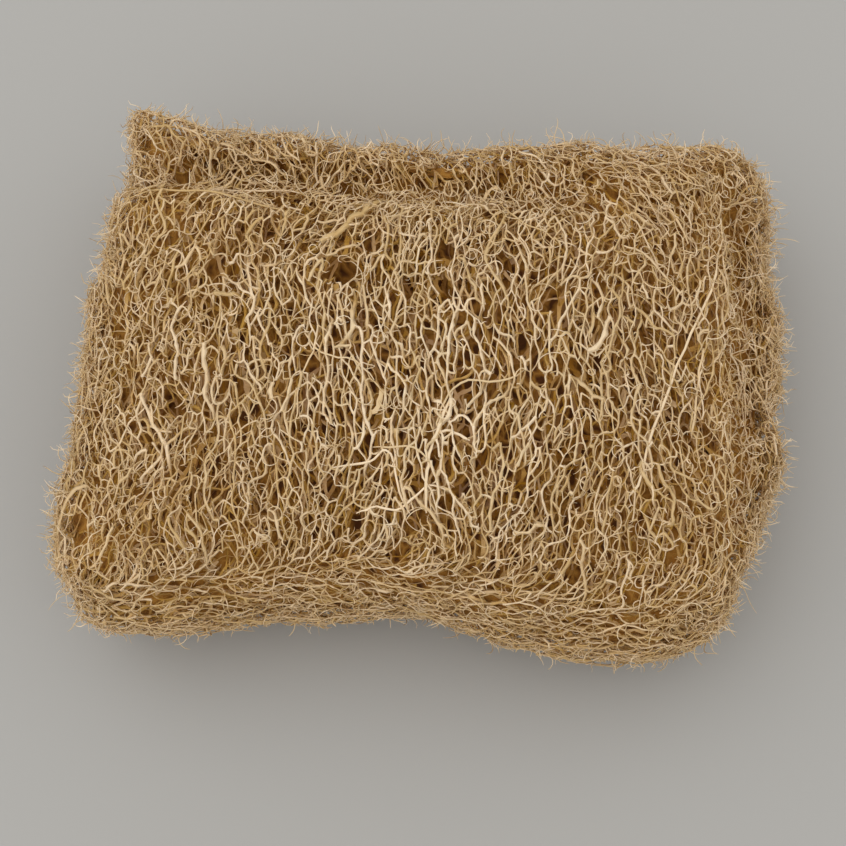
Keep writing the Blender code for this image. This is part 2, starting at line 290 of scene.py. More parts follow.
def turned(vectors, axis, angle):
    """Each vector turned about its own axis."""
    cos, sin = np.cos(angle)[:, None], np.sin(angle)[:, None]
    return vectors * cos + np.cross(axis, vectors) * sin + axis * dot(axis, vectors)[:, None] * (1 - cos)


def field(points, size, seed):
    """Smooth noise from about -1 to 1 at each point."""
    shift = Vector([seed * step for step in FIELD_SHIFT])
    return np.array([noise.noise(Vector(p) / size + shift) for p in points])


def curve_between(before, here, after, beyond, t):
    """Places at the shares t from here to after, on a smooth curve through the four."""
    square = (2 * before - 5 * here + 4 * after - beyond) * t**2
    cube = (3 * here - before - 3 * after + beyond) * t**3
    return (2 * here + (after - before) * t + square + cube) / 2


def outline():
    points = np.array(OUTLINE, float)
    before, after = np.roll(points, 1, 0), np.roll(points, -1, 0)
    beyond = np.roll(points, -2, 0)
    shares = np.arange(OUTLINE_STEPS) / OUTLINE_STEPS
    curve = np.concatenate([curve_between(before, points, after, beyond, t) for t in shares])
    low, high = curve.min(0), curve.max(0)
    curve = (curve - (low + high) / 2) / (high - low) * (LENGTH - FIBRE_REACH, WIDTH)
    angle = np.arctan2(curve[:, 1], curve[:, 0])
    order = np.argsort(angle)
    return angle[order], np.hypot(curve[:, 0], curve[:, 1])[order]


OUTLINE_ANGLES, OUTLINE_RADII = outline()


def radius_at(angle):
    return np.interp(angle, OUTLINE_ANGLES, OUTLINE_RADII, period=2 * math.pi)


def top_height(x, y):
    height = HEIGHT - CROWN_X * (x / LENGTH * 2) ** 2 - CROWN_Y * (y / WIDTH * 2) ** 2
    run = (x - CREASE_LEFT[0]) / (CREASE_RIGHT[0] - CREASE_LEFT[0])
    line = CREASE_LEFT[1] + run * (CREASE_RIGHT[1] - CREASE_LEFT[1])
    fade = smooth_step((CREASE_RIGHT[0] + CREASE_FADE - x) / CREASE_FADE)
    height -= CREASE_DEPTH * ridge(y - line, CREASE_WIDTH) * fade
    front = smooth_step((y - STEP_FRONT) / STEP_FADE)
    between = front * smooth_step((STEP_BACK - y) / STEP_FADE)
    height -= STEP_DROP * smooth_step((x - STEP_X) / STEP_SLOPE) * between
    height -= TRENCH_DEPTH * ridge(x - TRENCH_X, TRENCH_WIDTH) * between
    return height


class Profile:
    def __init__(self, exponent, rise):
        turn = np.linspace(0.0, math.pi / 2, PROFILE_STEPS)
        self.out = np.sin(turn) ** (2 / exponent)
        self.up = np.cos(turn) ** (2 / exponent)
        steps = np.hypot(np.diff(self.out) * MEAN_RADIUS, np.diff(self.up) * rise)
        arc = np.concatenate([[0.0], np.cumsum(steps)])
        self.share = arc / arc[-1]
        self.wrap = arc[-1] - MEAN_RADIUS

    def at(self, share):
        return self.out_at(share), np.interp(share, self.share, self.up)

    def out_at(self, share):
        return np.interp(share, self.share, self.out)


class Side:
    """The upper or the under side, which can be laid out flat."""

    def __init__(self, above):
        self.above = above
        rise = HEIGHT - WAIST if above else WAIST
        self.fold = Profile(FOLD_ABOVE if above else FOLD_BELOW, rise)
        self.cut = Profile(CUT_ABOVE if above else CUT_BELOW, rise)
        self.wrap = self.fold.wrap

    def share(self, flat):
        angle = np.arctan2(flat[:, 1], flat[:, 0])
        return np.hypot(flat[:, 0], flat[:, 1]) / (radius_at(angle) + self.wrap)

    def place(self, flat):
        angle = np.arctan2(flat[:, 1], flat[:, 0])
        radius = radius_at(angle)
        share = self.share(flat)
        cut = smooth_step((np.abs(np.cos(angle)) - CUT_FROM) / CUT_BLEND)
        fold_out, fold_up = self.fold.at(share)
        cut_out, cut_up = self.cut.at(share)
        reach = (fold_out + (cut_out - fold_out) * cut) * radius
        rise = fold_up + (cut_up - fold_up) * cut
        x, y = reach * np.cos(angle), reach * np.sin(angle)
        if self.above:
            return np.stack([x, y, WAIST + rise * (top_height(x, y) - WAIST)], 1)
        return np.stack([x, y, WAIST * (1.0 - rise)], 1)

    def frame_at(self, flat):
        """Places, outward normals and the two flat directions as they lie on the form."""
        inner = flat * np.minimum(1.0, RIM_SHARE / np.maximum(self.share(flat), LEAST))[:, None]
        across = self.place(inner + (SLOPE_STEP, 0.0)) - self.place(inner - (SLOPE_STEP, 0.0))
        along = self.place(inner + (0.0, SLOPE_STEP)) - self.place(inner - (0.0, SLOPE_STEP))
        normal = unit(np.cross(across, along))
        return self.place(flat), normal if self.above else -normal, unit(across), unit(along)

    def flat_at(self, plan):
        """Flat places of points that are seen from above."""
        angle = np.arctan2(plan[:, 1], plan[:, 0])
        radius = radius_at(angle)
        cut = smooth_step((np.abs(np.cos(angle)) - CUT_FROM) / CUT_BLEND)
        reach = np.hypot(plan[:, 0], plan[:, 1]) / radius
        to_cut = self.cut.out_at(self.fold.share) - self.fold.out
        share = [np.interp(r, self.fold.out + to_cut * c, self.fold.share) for r, c in zip(reach, cut)]
        size = np.array(share) * (radius + self.wrap)
        return np.stack([size * np.cos(angle), size * np.sin(angle)], 1)

    def scatter(self, across, along):
        """Jittered rows of points all over the flat layout."""
        columns = int((LENGTH / 2 + self.wrap) / across) + SPARE_ROWS
        rows = int((WIDTH / 2 + self.wrap) / along) + SPARE_ROWS
        i, j = np.meshgrid(np.arange(-columns, columns + 1), np.arange(-rows, rows + 1))
        flat = np.stack([i * across, (j + i % 2 / 2) * along], -1).reshape(-1, 2)
        flat += RNG.uniform(-JITTER, JITTER, flat.shape) * (across, along)
        return flat[self.share(flat) < 1.0]


SIDES = (Side(True), Side(False))


class Form:
    """Turns flat places into places in the sponge, fitted to the CAD node's box."""

    def __init__(self):
        low, high = (np.array(corner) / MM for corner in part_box(NODE))
        low[0], high[0] = low[0] + END_REACH[0], high[0] - END_REACH[1]
        self.scale, self.shift = np.ones(3), np.zeros(3)
        flats = [side.scatter(FIT_SPACING, FIT_SPACING) for side in SIDES]
        places = np.concatenate([self.at(s, flat)[0] for s, flat in enumerate(flats)])
        self.scale = (high - low) / (places.max(0) - places.min(0))
        self.shift = low - places.min(0) * self.scale

    def at(self, s, flat):
        place, normal, across, along = SIDES[s].frame_at(flat)
        away = LUMP_HEIGHT * field(place, LUMP_SIZE, LUMPS)
        away += KNOB_HEIGHT * field(place, KNOB_SIZE, KNOBS)
        front = np.where(place[:, 1] < 0, smooth_step((SEAM_END - place[:, 0]) / SEAM_FADE), 0.0)
        away -= SEAM_DEPTH * ridge(place[:, 2] - SEAM_Z, SEAM_WIDTH) * front
        place = place + normal * away[:, None]
        place[:, 2] = np.maximum(place[:, 2], 0.0)
        return place * self.scale + self.shift, normal, across, along


FORM = Form()


def calm(place, normal):
    """1 in the middle of the top, where the strands are long and even, down to 0 elsewhere."""
    spread = ((place[:, 0] - CALM_X) / CALM_LENGTH) ** 2 + ((place[:, 1] - CALM_Y) / CALM_WIDTH) ** 2
    return np.exp(-spread) * facing(normal[:, 2], TOP_FACE)


def grain(place, normal, across, along):
    """Main direction of the fibres, and how much longer than wide the cells are."""
    middle = calm(place, normal)
    swing = WIDE_SWING * field(place, WIDE_SIZE, WIDE_TURNS)
    swing += NARROW_SWING * field(place, NARROW_SIZE, NARROW_TURNS)
    turn = math.pi / 2 + (1.0 - CALM_STEADY * middle) * swing
    lip = smooth_step((place[:, 1] - BACK_FROM) / BACK_FADE) * (normal[:, 2] > UPPER_FACE)
    turn += BACK_TURN * lip
    front_band = facing(-normal[:, 1], FRONT_FACE)
    turn = turn * (1.0 - front_band) + (turn - math.pi / 2) * front_band
    ends = facing(np.abs(normal[:, 0]), SWING_FACE)
    turn += ends * END_SWING * field(place, END_SIZE, END_TURNS)
    direction = unit(across * np.cos(turn)[:, None] + along * np.sin(turn)[:, None])
    stretch = CELL_STRETCH + TOP_STRETCH * facing(normal[:, 2], UPPER_FACE) + CALM_STRETCH * middle
    stretch = stretch + STRETCH_SPREAD * field(place, STRETCH_SIZE, STRETCHES)
    stretch = stretch + FRONT_STRETCH * front_band
    return direction, np.clip(stretch, LEAST_STRETCH, MOST_STRETCH)


class Crossings:
    """All fibre crossings of the net."""

    def __init__(self):
        parts = []
        for across, along, shallow, deep in LAYERS:
            for s, side in enumerate(SIDES):
                spacing = 1.0 if side.above else UNDER_SPACING
                flat = side.scatter(across * spacing, along * spacing)
                place, normal, east, north = FORM.at(s, flat)
                direction, stretch = grain(place, normal, east, north)
                depth = RNG.uniform(shallow, deep, len(flat))
                kept = (normal[:, 2] > REST_FACE) | (RNG.random(len(flat)) < REST_SHARE)
                thinned = DEEPER_THINNED if shallow > 0 else SURFACE_THINNED
                kept &= RNG.random(len(flat)) > thinned * calm(place, normal)
                columns = (place - normal * depth[:, None], normal, direction, stretch, depth)
                parts.append([column[kept] for column in columns])
        joined = [np.concatenate(column) for column in zip(*parts)]
        self.place, self.normal, self.grain, self.stretch, self.depth = joined
        self.place[:, 2] = np.maximum(self.place[:, 2], FIBRE_RADIUS)
        self.keep(self.outside_holes())

    def keep(self, mask):
        for name in ("place", "normal", "grain", "stretch", "depth"):
            setattr(self, name, getattr(self, name)[mask])

    def outside_holes(self):
        """Which crossings are left after the net is opened at the pit and at small holes."""
        away = np.hypot(self.place[:, 0] - PIT_CENTRE[0], self.place[:, 1] - PIT_CENTRE[1])
        kept = (away > PIT_RADIUS) | (self.depth > PIT_DEPTH) | (self.normal[:, 2] < TOP_FACE)
        surface = LAYERS[0][-1]
        outer = np.flatnonzero(self.depth < surface)
        chosen = RNG.choice(outer, HOLE_COUNT, replace=False)
        tree = point_tree(self.place)
        for k in chosen:
            radius = RNG.uniform(*HOLE_RADIUS)
            for _, near, _ in tree.find_range(self.place[k], radius + HOLE_DEPTH):
                offset = self.place[near] - self.place[k]
                down = -float(offset @ self.normal[k])
                aside = math.sqrt(max(float(offset @ offset) - down * down, 0.0))
                if aside < radius and down < HOLE_DEPTH:
                    kept[near] = False
        return kept


def point_tree(places):
    tree = kdtree.KDTree(len(places))
    for k, place in enumerate(places):
        tree.insert(place, k)
    tree.balance()
    return tree


def links(net):
    """Pairs of crossings with no third crossing nearer to both, measured along the grain."""
    tree = point_tree(net.place)
    count = len(net.place)
    near = np.empty((count, NEIGHBOURS), int)
    for k in range(count):
        found = tree.find_n(net.place[k], NEIGHBOURS + 1)
        near[k] = [index for _, index, _ in found][1:]
    offset = net.place[near] - net.place[:, None]
    side = unit(np.cross(net.normal, net.grain))
    ways = (net.grain, side, net.normal)
    local = np.stack([np.einsum("nkd,nd->nk", offset, way) for way in ways], -1)
    local[..., 0] /= net.stretch[:, None]
    local[..., 2] *= DEPTH_WEIGHT
    length = np.linalg.norm(local, axis=-1)
    pairs = set()
    for start in range(0, count, BLOCK):
        block = slice(start, start + BLOCK)
        between = np.linalg.norm(local[block, :, None] - local[block, None, :], axis=-1)
        longest = np.maximum(length[block, None, :], between)
        blocked = (longest < length[block, :, None] - SAME_LENGTH).any(-1)
        good = ~blocked & (length[block] < LONGEST_LINK)
        first, which = np.nonzero(good)
        for a, b in zip(first + start, near[block][first, which]):
            pairs.add((min(a, b), max(a, b)))
    return np.array(sorted(pairs))


def cut_links(net, pairs):
    """Which links are cut through, which leaves two loose ends."""
    middle = calm(net.place[pairs[:, 0]], net.normal[pairs[:, 0]])
    depth = net.depth[pairs].mean(1)
    chance = CUT_WILD + (CUT_CALM - CUT_WILD) * middle
    return (RNG.random(len(pairs)) < chance) & (depth < CUT_DEPTH)


def at_crossings(net, pairs):
    """For each end of each link, the way it leaves its crossing and the end that it runs on into."""
    ends = pairs.reshape(-1)
    away = net.place[pairs[:, 1]] - net.place[pairs[:, 0]]
    way = unit(np.stack([away, -away], 1).reshape(-1, 3))
    tangent = way.copy()
    partner = np.full(len(ends), -1)
    order = np.argsort(ends, kind="stable")
    bounds = np.flatnonzero(np.diff(ends[order])) + 1
    for group in np.split(order, bounds):
        free = list(range(len(group)))
        turn = way[group] @ way[group].T
        through = None
        while len(free) > 1:
            best = min((turn[i, j], i, j) for i in free for j in free if i < j)
            if best[0] > THROUGH_COSINE:
                break
            _, i, j = best
            a, b = group[i], group[j]
            partner[a], partner[b] = b, a
            line = unit(way[a] - way[b] + RNG.normal(0.0, WAVE, 3))
            tangent[a], tangent[b] = line, -line
            through = line if through is None else through
            free.remove(i)
            free.remove(j)
        for i in free:
            if through is not None:
                half = group[i]
                lean = math.copysign(1.0, float(way[half] @ through))
                tangent[half] = unit(way[half] * BRANCH_OWN + through * lean * BRANCH_LEAN)
    return tangent, partner


def strands(pairs, partner):
    """Lists of link ends (the end that each link is entered by) that follow each other."""
    seen = np.zeros(len(pairs), bool)
    result = []
    for link in range(len(pairs)):
        if seen[link]:
            continue
        half = 2 * link
        while partner[half] >= 0:
            half = partner[half] ^ 1
            if half >> 1 == link:
                break
        run = []
        while not seen[half >> 1]:
            seen[half >> 1] = True
            run.append(half)
            if partner[half ^ 1] < 0:
                break
            half = partner[half ^ 1]
        result.append(run)
    return result


class Fibres:
    """Points of many fibres, one after the other."""

    NAMES = ("place", "normal", "radius", "wide", "depth", "fibre")

    def __init__(self):
        self.columns = {name: [] for name in self.NAMES}
        self.count = 0

    def add(self, place, normal, radius, wide, depth):
        """One fibre."""
        for name, values in zip(self.NAMES, (place, normal, radius, wide, depth)):
            self.columns[name].append(values)
        self.columns["fibre"].append(np.full(len(place), self.count))
        self.count += 1

    def add_many(self, place, normal, radius, depth):
        """Fibres with the same number of points, which are the second axis."""
        count, points = radius.shape
        flat = (
            place.reshape(-1, 3), np.repeat(normal, points, 0), radius.ravel(),
            np.ones(radius.size), depth.ravel(),
        )
        for name, values in zip(self.NAMES, flat):
            self.columns[name].append(values)
        self.columns["fibre"].append(self.count + np.repeat(np.arange(count), points))
        self.count += count

    def joined(self):
        return {name: np.concatenate(parts) for name, parts in self.columns.items()}


def link_points(net, pairs, tangent, steps):
    """Points along each link, from one crossing to the other, with equal numbers of steps."""
    t = (np.arange(steps + 1) / steps)[None, :, None]
    pa, pb = net.place[pairs[:, 0]][:, None], net.place[pairs[:, 1]][:, None]
    reach = np.linalg.norm(pb - pa, axis=-1, keepdims=True) * BEND
    ta, tb = tangent[0::2][:, None] * reach, -tangent[1::2][:, None] * reach
    place = (
        (2 * t**3 - 3 * t**2 + 1) * pa
        + (t**3 - 2 * t**2 + t) * ta
        + (3 * t**2 - 2 * t**3) * pb
        + (t**3 - t**2) * tb
    )
    normal = net.normal[pairs[:, 0]][:, None] * (1 - t) + net.normal[pairs[:, 1]][:, None] * t
    first, last = net.depth[pairs.T][..., None]
    depth = first * (1 - t[..., 0]) + last * t[..., 0]
    flare = np.abs(2 * t[0, :, 0] - 1) ** FLARE_POWER
    return place, normal, depth, flare


def net_fibres(net, pairs):
    """The net's strands as curves, those near the surface apart from those deeper in."""
    tangent, partner = at_crossings(net, pairs)
    outer, inner = Fibres(), Fibres()
    reach = np.linalg.norm(net.place[pairs[:, 1]] - net.place[pairs[:, 0]], axis=1)
    depth = net.depth[pairs].mean(1)
    steps = np.where(reach < SHORT_LINK, 1, np.where(reach < MIDDLE_LINK, 2, 3))
    steps = np.where((depth < FINE_DEPTH) & (reach > FINE_LINK), np.maximum(steps, 2), steps)
    samples = [None] * len(pairs)
    for count in np.unique(steps):
        which = np.flatnonzero(steps == count)
        halves = np.stack([2 * which, 2 * which + 1], 1).reshape(-1)
        place, normal, depths, flare = link_points(net, pairs[which], tangent[halves], count)
        for k, link in enumerate(which):
            samples[link] = (place[k], normal[k], depths[k], flare)
    for run in strands(pairs, partner):
        parts = []
        for half in run:
            part = samples[half >> 1]
            parts.append([column[::-1] for column in part] if half & 1 else part)
        columns = [np.concatenate([p[c][:-1] for p in parts] + [parts[-1][c][-1:]]) for c in range(4)]
        place, normal, depths, flare = columns
        limit = STRIP_TOP if normal[0, 2] > TOP_FACE else STRIP_REST
        shallow = depths.mean() < limit
        size = (FIBRE_RADIUS if shallow else INNER_RADIUS) * math.exp(FIBRE_SPREAD * RNG.normal())
        middle = calm(place[:1], normal[:1])[0]
        size = np.full(len(place), size * (1.0 + CALM_GAIN * middle))
        if shallow and len(run) > THICK_LINKS and RNG.random() < THICK_SHARE * (THICK_REST + middle):
            body = np.sin(math.pi * np.linspace(0.0, 1.0, len(place)))
            size += (THICK_RADIUS * RNG.uniform(*THICK_SPREAD) - size) * body
        radius = size * (1.0 + UNEVEN * RNG.normal(size=len(place)) + FLARE * flare)
        radius[[0, -1]] = size[[0, -1]] * THIN_END
        wide = 1.0 + FLAT_FLARE * flare
        wide[[0, -1]] = FLAT_END
        (outer if shallow else inner).add(place, normal, radius, wide, depths)
    return outer, inner


def loose_fibres(start, heading, normal, depth, length, bend, radius, steps, flatness):
    """Fibres that leave their start with a heading and curl, tapered to a point."""
    count = len(start)
    axis = unit(normal + RNG.normal(0.0, AXIS_SPREAD, normal.shape))
    axis *= RNG.choice((-1.0, 1.0), count)[:, None]
    way, place = unit(heading), start.copy()
    points = [place]
    reach = RNG.uniform(*length, count)
    total = np.abs(RNG.normal(1.0, BEND_SPREAD, count)) * bend
    for _ in range(steps):
        way = turned(way, axis, total / steps * RNG.uniform(*STEP_SPREAD, count))
        way = unit(way - normal * (dot(way, normal) * flatness)[:, None])
        place = place + way * (reach / steps)[:, None]
        place[:, 2] = np.maximum(place[:, 2], LEAST_HEIGHT)
        points.append(place)
    points = np.stack(points, 1)
    share = np.arange(steps + 1) / steps
    size = RNG.uniform(*radius, count)
    taper = size[:, None] * (1.0 - TIP_TAPER * share)
    taper[:, -1] = TIP_RADIUS
    out = np.einsum("npk,nk->np", points - start[:, None], normal)
    return points, normal, taper, depth[:, None] - out


def pick(weight, count):
    weight = np.maximum(weight, 0.0)
    return RNG.choice(len(weight), count, replace=False, p=weight / weight.sum())


def loose_ends(net, pairs, cut):
    """Cut links, tips, hooks and curls that stand off the net."""
    fibres = Fibres()
    ends = pairs[cut]
    away = net.place[ends[:, 1]] - net.place[ends[:, 0]]
    reach = np.linalg.norm(away, axis=1)
    for sign, column in ((1.0, 0), (-1.0, 1)):
        at = ends[:, column]
        stray = RNG.normal(0.0, CUT_STRAY, away.shape) * reach[:, None]
        heading = away * sign + stray + net.normal[at] * CUT_LEAN
        for length, some in ((SHORT_END, reach < LONG_CUT), (LONG_END, reach >= LONG_CUT)):
            fibres.add_many(*loose_fibres(
                net.place[at[some]], heading[some], net.normal[at[some]], net.depth[at[some]],
                length, CUT_BEND, CUT_RADIUS, CUT_STEPS, CUT_FLATNESS,
            ))
    wild = 1.0 - LOOSE_CALM * calm(net.place, net.normal)
    outer = net.depth < LOOSE_DEPTH
    top = np.where(net.normal[:, 2] > LOWER_FACE, 1.0, LOWER_SHARE)
    rough = ROUGH + np.clip(field(net.place, ROUGH_SIZE, ROUGH_PATCHES), -ROUGH, 1.0)
    end = facing(np.abs(net.normal[:, 0]), LOOSE_END_FACE)
    back = facing(net.normal[:, 1], LOOSE_BACK_FACE)
    kinds = (
        (TIPS, outer * wild * top),
        (HOOKS, outer * wild * top * rough),
        (CURLS, outer * wild * top * rough**2),
        (FUZZ, outer * wild**2 * top),
        (END_TIPS, outer * (end + BACK_SHARE * back)),
        (HAIRS, outer * (end + back)),
    )
    for (count, length, bend, radius, steps, lean), weight in kinds:
        at = pick(weight, count)
        aside = np.cross(net.normal[at], unit(RNG.normal(size=(count, 3))))
        heading = unit(aside) + net.normal[at] * (lean * RNG.uniform(*LEAN_SPREAD, count))[:, None]
        flatness = FLATNESS if lean < FLAT_LEAN else 0.0
        fibres.add_many(*loose_fibres(
            net.place[at], heading, net.normal[at], net.depth[at], length, bend, radius, steps, flatness
        ))
    return fibres


def spline(points, per_span):
    """A smooth curve through the points."""
    points = np.array(points, float)
    padded = np.concatenate([2 * points[:1] - points[1:2], points, 2 * points[-1:] - points[-2:-1]])
    four = (padded[:-3], padded[1:-2], padded[2:-1], padded[3:])
    t = (np.arange(per_span) / per_span)[None, :, None]
    curve = curve_between(*(p[:, None] for p in four), t).reshape(-1, points.shape[1])
    return np.concatenate([curve, points[-1:]])


def over_net(s, flat, size, lift):
    """One strand that runs over the net along flat places and dips into it at both ends."""
    place, normal, _, _ = FORM.at(s, flat)
    share = np.linspace(0.0, 1.0, len(flat))
    sway = np.interp(share, np.linspace(0, 1, SWAYS), RNG.uniform(*SWAY, SWAYS))
    body = smooth_step(share / STRAND_END) * smooth_step((1.0 - share) / STRAND_END)
    place = place + normal * (lift * body + sway - STRAND_DIP * (1.0 - body))[:, None]
    place[:, 2] = np.maximum(place[:, 2], size)
    radius = size * (STRAND_TIP + (1.0 - STRAND_TIP) * body)
    radius = radius * (1.0 + STRAND_UNEVEN * RNG.normal(size=len(flat)))
    return place, normal, radius, np.full(len(flat), STRAND_WIDE), np.zeros(len(flat))


def long_strands():
    """Long strands over the net: some at marked places, the others along the grain."""
    fibres = Fibres()
    for places, size in MARKED_STRANDS:
        plan = (np.array(places) - FORM.shift[:2]) / FORM.scale[:2]
        curve = spline(SIDES[0].flat_at(plan), MARKED_STEPS)
        curve[1:-1] += RNG.normal(0.0, MARKED_JITTER, (len(curve) - 2, 2))
        fibres.add(*over_net(0, curve, size, MARKED_LIFT))
    for k in range(LONG_STRANDS):
        s = 0 if k % UNDER_EVERY else 1
        flat = SIDES[s].scatter(START_SPACING, START_SPACING)
        at = flat[RNG.integers(len(flat))]
        place, normal, east, north = FORM.at(s, at[None])
        way, _ = grain(place, normal, east, north)
        angle = math.atan2(float(dot(way[0], north[0])), float(dot(way[0], east[0])))
        points = [at]
        for _ in range(int(RNG.integers(*STRAND_STEPS))):
            angle += RNG.normal(0.0, STRAND_TURN)
            at = at + STRAND_STEP * np.array([math.cos(angle), math.sin(angle)])
            points.append(at)
        points = np.array(points)
        if SIDES[s].share(points).max() < STRAND_RIM:
            fibres.add(*over_net(s, points, RNG.uniform(*STRAND_RADIUS), STRAND_LIFT))
    return fibres


def fibre_starts(fibre):
    """Where each fibre's points start, and their number."""
    first = np.flatnonzero(np.r_[True, fibre[1:] != fibre[:-1]])
    return first, np.diff(np.r_[first, len(fibre)])


def transported(place, fibre, normal):
    """Two directions across the fibres at each point, which don't twist along them."""
    first, length = fibre_starts(fibre)
    ahead, behind = np.arange(len(fibre)) + 1, np.arange(len(fibre)) - 1
    last = first + length - 1
    ahead[last], behind[first] = last, first
    along = unit(place[ahead] - place[behind])
    upright = np.abs(dot(along, normal)) > UPRIGHT
    guide = np.where(upright[:, None], unit(normal + TILT), normal)
    across = np.zeros_like(place)
    across[first] = unit(np.cross(along[first], guide[first]))
    for k in range(1, length.max()):
        at = (first + k)[length > k]
        before = across[at - 1]
        across[at] = unit(before - along[at] * dot(before, along[at])[:, None])
    return across, np.cross(along, across)


def strip_layout(reach):
    """Each strip's start and row in a map of rows, the number of rows and their length."""
    total = reach.sum()
    rows = max(int(math.sqrt(total / MAP_SHAPE)), LEAST_ROWS)
    width = total / rows * MAP_SLACK
    row, at = 0, 0.0
    offset, line = np.zeros(len(reach)), np.zeros(len(reach))
    for k, size in enumerate(reach):
        if at + size > width:
            row, at = row + 1, 0.0
        offset[k], line[k] = at, row
        at += size + MAP_GAP
    return offset, line, row + 1, width + MAP_MARGIN


def smooth_mesh(name, verts, faces):
    """A mesh from an array of places in millimetres and one of four-cornered faces."""
    mesh = bpy.data.meshes.new(name)
    mesh.vertices.add(len(verts))
    mesh.vertices.foreach_set("co", (verts * MM).astype(np.float32).ravel())
    mesh.loops.add(faces.size)
    mesh.loops.foreach_set("vertex_index", faces.astype(np.int32).ravel())
    mesh.polygons.add(len(faces))
    mesh.polygons.foreach_set("loop_start", np.arange(0, faces.size, faces.shape[1], dtype=np.int32))
    mesh.update(calc_edges=True)
    mesh.shade_smooth()
    return mesh


def add_attribute(mesh, name, values):
    """A value or, from rows of three, a vector at each vertex."""
    kind, field_name = ("FLOAT", "value") if values.ndim == 1 else ("FLOAT_VECTOR", "vector")
    attribute = mesh.attributes.new(name, kind, "POINT")
    attribute.data.foreach_set(field_name, values.astype(np.float32).ravel())


def add_strip_map(mesh, start, walls, sides, along, rows, line):
    """The baking map: each wall of each step of a fibre is one cell of the fibre's strip."""
    k = np.arange(walls)
    low, high = start[:, None] + np.zeros(walls, int), start[:, None] + 1 + np.zeros(walls, int)
    base, tall = (line + ROW_START) / rows, ROW_SHARE / rows
    corners = ((low, k), (low, k + 1), (high, k + 1), (high, k))
    uv = [np.stack([along[end], base[end] + tall * edge / sides], -1) for end, edge in corners]
    layer = mesh.uv_layers.new(name="OFBake")
    layer.uv.foreach_set("vector", np.stack(uv, 2).astype(np.float32).ravel())


def tube_mesh(name, data, sides):
    """One mesh of tubes along all the fibres in data, or of flat strips that have one wall."""
    place, fibre, radius = data["place"], data["fibre"], data["radius"]
    across, up = transported(place, fibre, data["normal"])
    angle = np.arange(sides) / sides * 2 * math.pi
    walls = sides
    if sides == STRIP_SIDES:
        angle, walls = angle[::-1], 1
    wide, high = radius * data["wide"], radius / np.sqrt(data["wide"])
    ring = (
        across[:, None] * np.cos(angle)[None, :, None] * wide[:, None, None]
        + up[:, None] * np.sin(angle)[None, :, None] * high[:, None, None]
    )
    start = np.flatnonzero(fibre[1:] == fibre[:-1])
    k = np.arange(walls)
    here, there = start[:, None] * sides, (start[:, None] + 1) * sides
    after = (k + 1) % sides
    faces = np.stack([here + k, here + after, there + after, there + k], -1).reshape(-1, 4)
    mesh = smooth_mesh(name, (place[:, None] + ring).reshape(-1, 3), faces)

    first, length = fibre_starts(fibre)
    run = np.concatenate([[0.0], np.cumsum(np.linalg.norm(np.diff(place, axis=0), axis=1))])
    index = np.repeat(np.arange(len(first)), length)
    run -= run[first][index]
    offset, line, rows, width = strip_layout(run[first + length - 1])
    add_strip_map(mesh, start, walls, sides, (offset[index] + run) / width, rows, line[index])

    middle = calm(place, unit(data["normal"]))
    # Painted shade: colours darken with depth, fully in the calm middle of the top and less elsewhere;
    # away from that middle the surface is darkened too, and ends that stand out are painted paler
    depth_shade = np.clip(data["depth"] / DEEPEST, LEAST_SHADE_SHARE, 1.0) * (OFF_MIDDLE_SHADE_SHARE + (1.0 - OFF_MIDDLE_SHADE_SHARE) * middle)
    add_attribute(mesh, "depth", np.repeat(depth_shade + OFF_MIDDLE_DARKENING * (1.0 - middle), sides))
    tint = RNG.random(len(first))[index]
    add_attribute(mesh, "tint", np.repeat(tint, sides))
    streak = (
        np.repeat(run * STREAK_RUN + tint * STREAK_SHIFT, sides),
        (np.cos(angle)[None] * radius[:, None]).ravel() * STREAK_ROUND,
        (np.sin(angle)[None] * radius[:, None]).ravel() * STREAK_ROUND,
    )
    add_attribute(mesh, "fibre_space", np.stack(streak, 1))
    return mesh


def selected(data, mask):
    """The fibres of data for which mask is true."""
    return {name: values[mask[data["fibre"]]] for name, values in data.items()}


def fibre_normals(data):
    """The normal of the surface at the middle of each fibre."""
    first, length = fibre_starts(data["fibre"])
    return data["normal"][first + length // 2]


def new_material(name, roughness):
    material = bpy.data.materials.new(name)
    material.use_nodes = True
    shader = material.node_tree.nodes["Principled BSDF"]
    shader.inputs["Roughness"].default_value = roughness
    return material, material.node_tree, shader


def add_node(tree, kind, **values):
    """A shader node with values for its inputs, which are named with _ for a space."""
    node = tree.nodes.new(kind)
    for key, value in values.items():
        node.inputs[key.replace("_", " ")].default_value = value
    return node


def noise_node(tree, source, kind):
    node = add_node(tree, "ShaderNodeTexNoise", Scale=kind[0], Detail=kind[1])
    tree.links.new(source, node.inputs["Vector"])
    return node


def attribute_node(tree, name):
    node = tree.nodes.new("ShaderNodeAttribute")
    node.attribute_name = name
    return node


def math_node(tree, kind, operation, *sources):
    """A node of the kind that does the operation on the sources."""
    node = tree.nodes.new(kind)
    node.operation = operation
    for socket, source in zip(node.inputs, sources):
        tree.links.new(source, socket)
    return node


def colour_ramp(tree, stops, source):
    """Colours at stops of the source's value, of which the first is 0."""
    node = tree.nodes.new("ShaderNodeValToRGB")
    first, last = node.color_ramp.elements
    first.color = (*stops[0][1], 1.0)
    last.position = stops[-1][0]
    last.color = (*stops[-1][1], 1.0)
    for position, colour in stops[1:-1]:
        node.color_ramp.elements.new(position).color = (*colour, 1.0)
    tree.links.new(source, node.inputs["Fac"])
    return node


def bump_from(tree, shader, height, kind):
    bump = add_node(tree, "ShaderNodeBump", Strength=kind[0], Distance=kind[1])
    tree.links.new(height, bump.inputs["Height"])
    tree.links.new(bump.outputs["Normal"], shader.inputs["Normal"])
    return bump


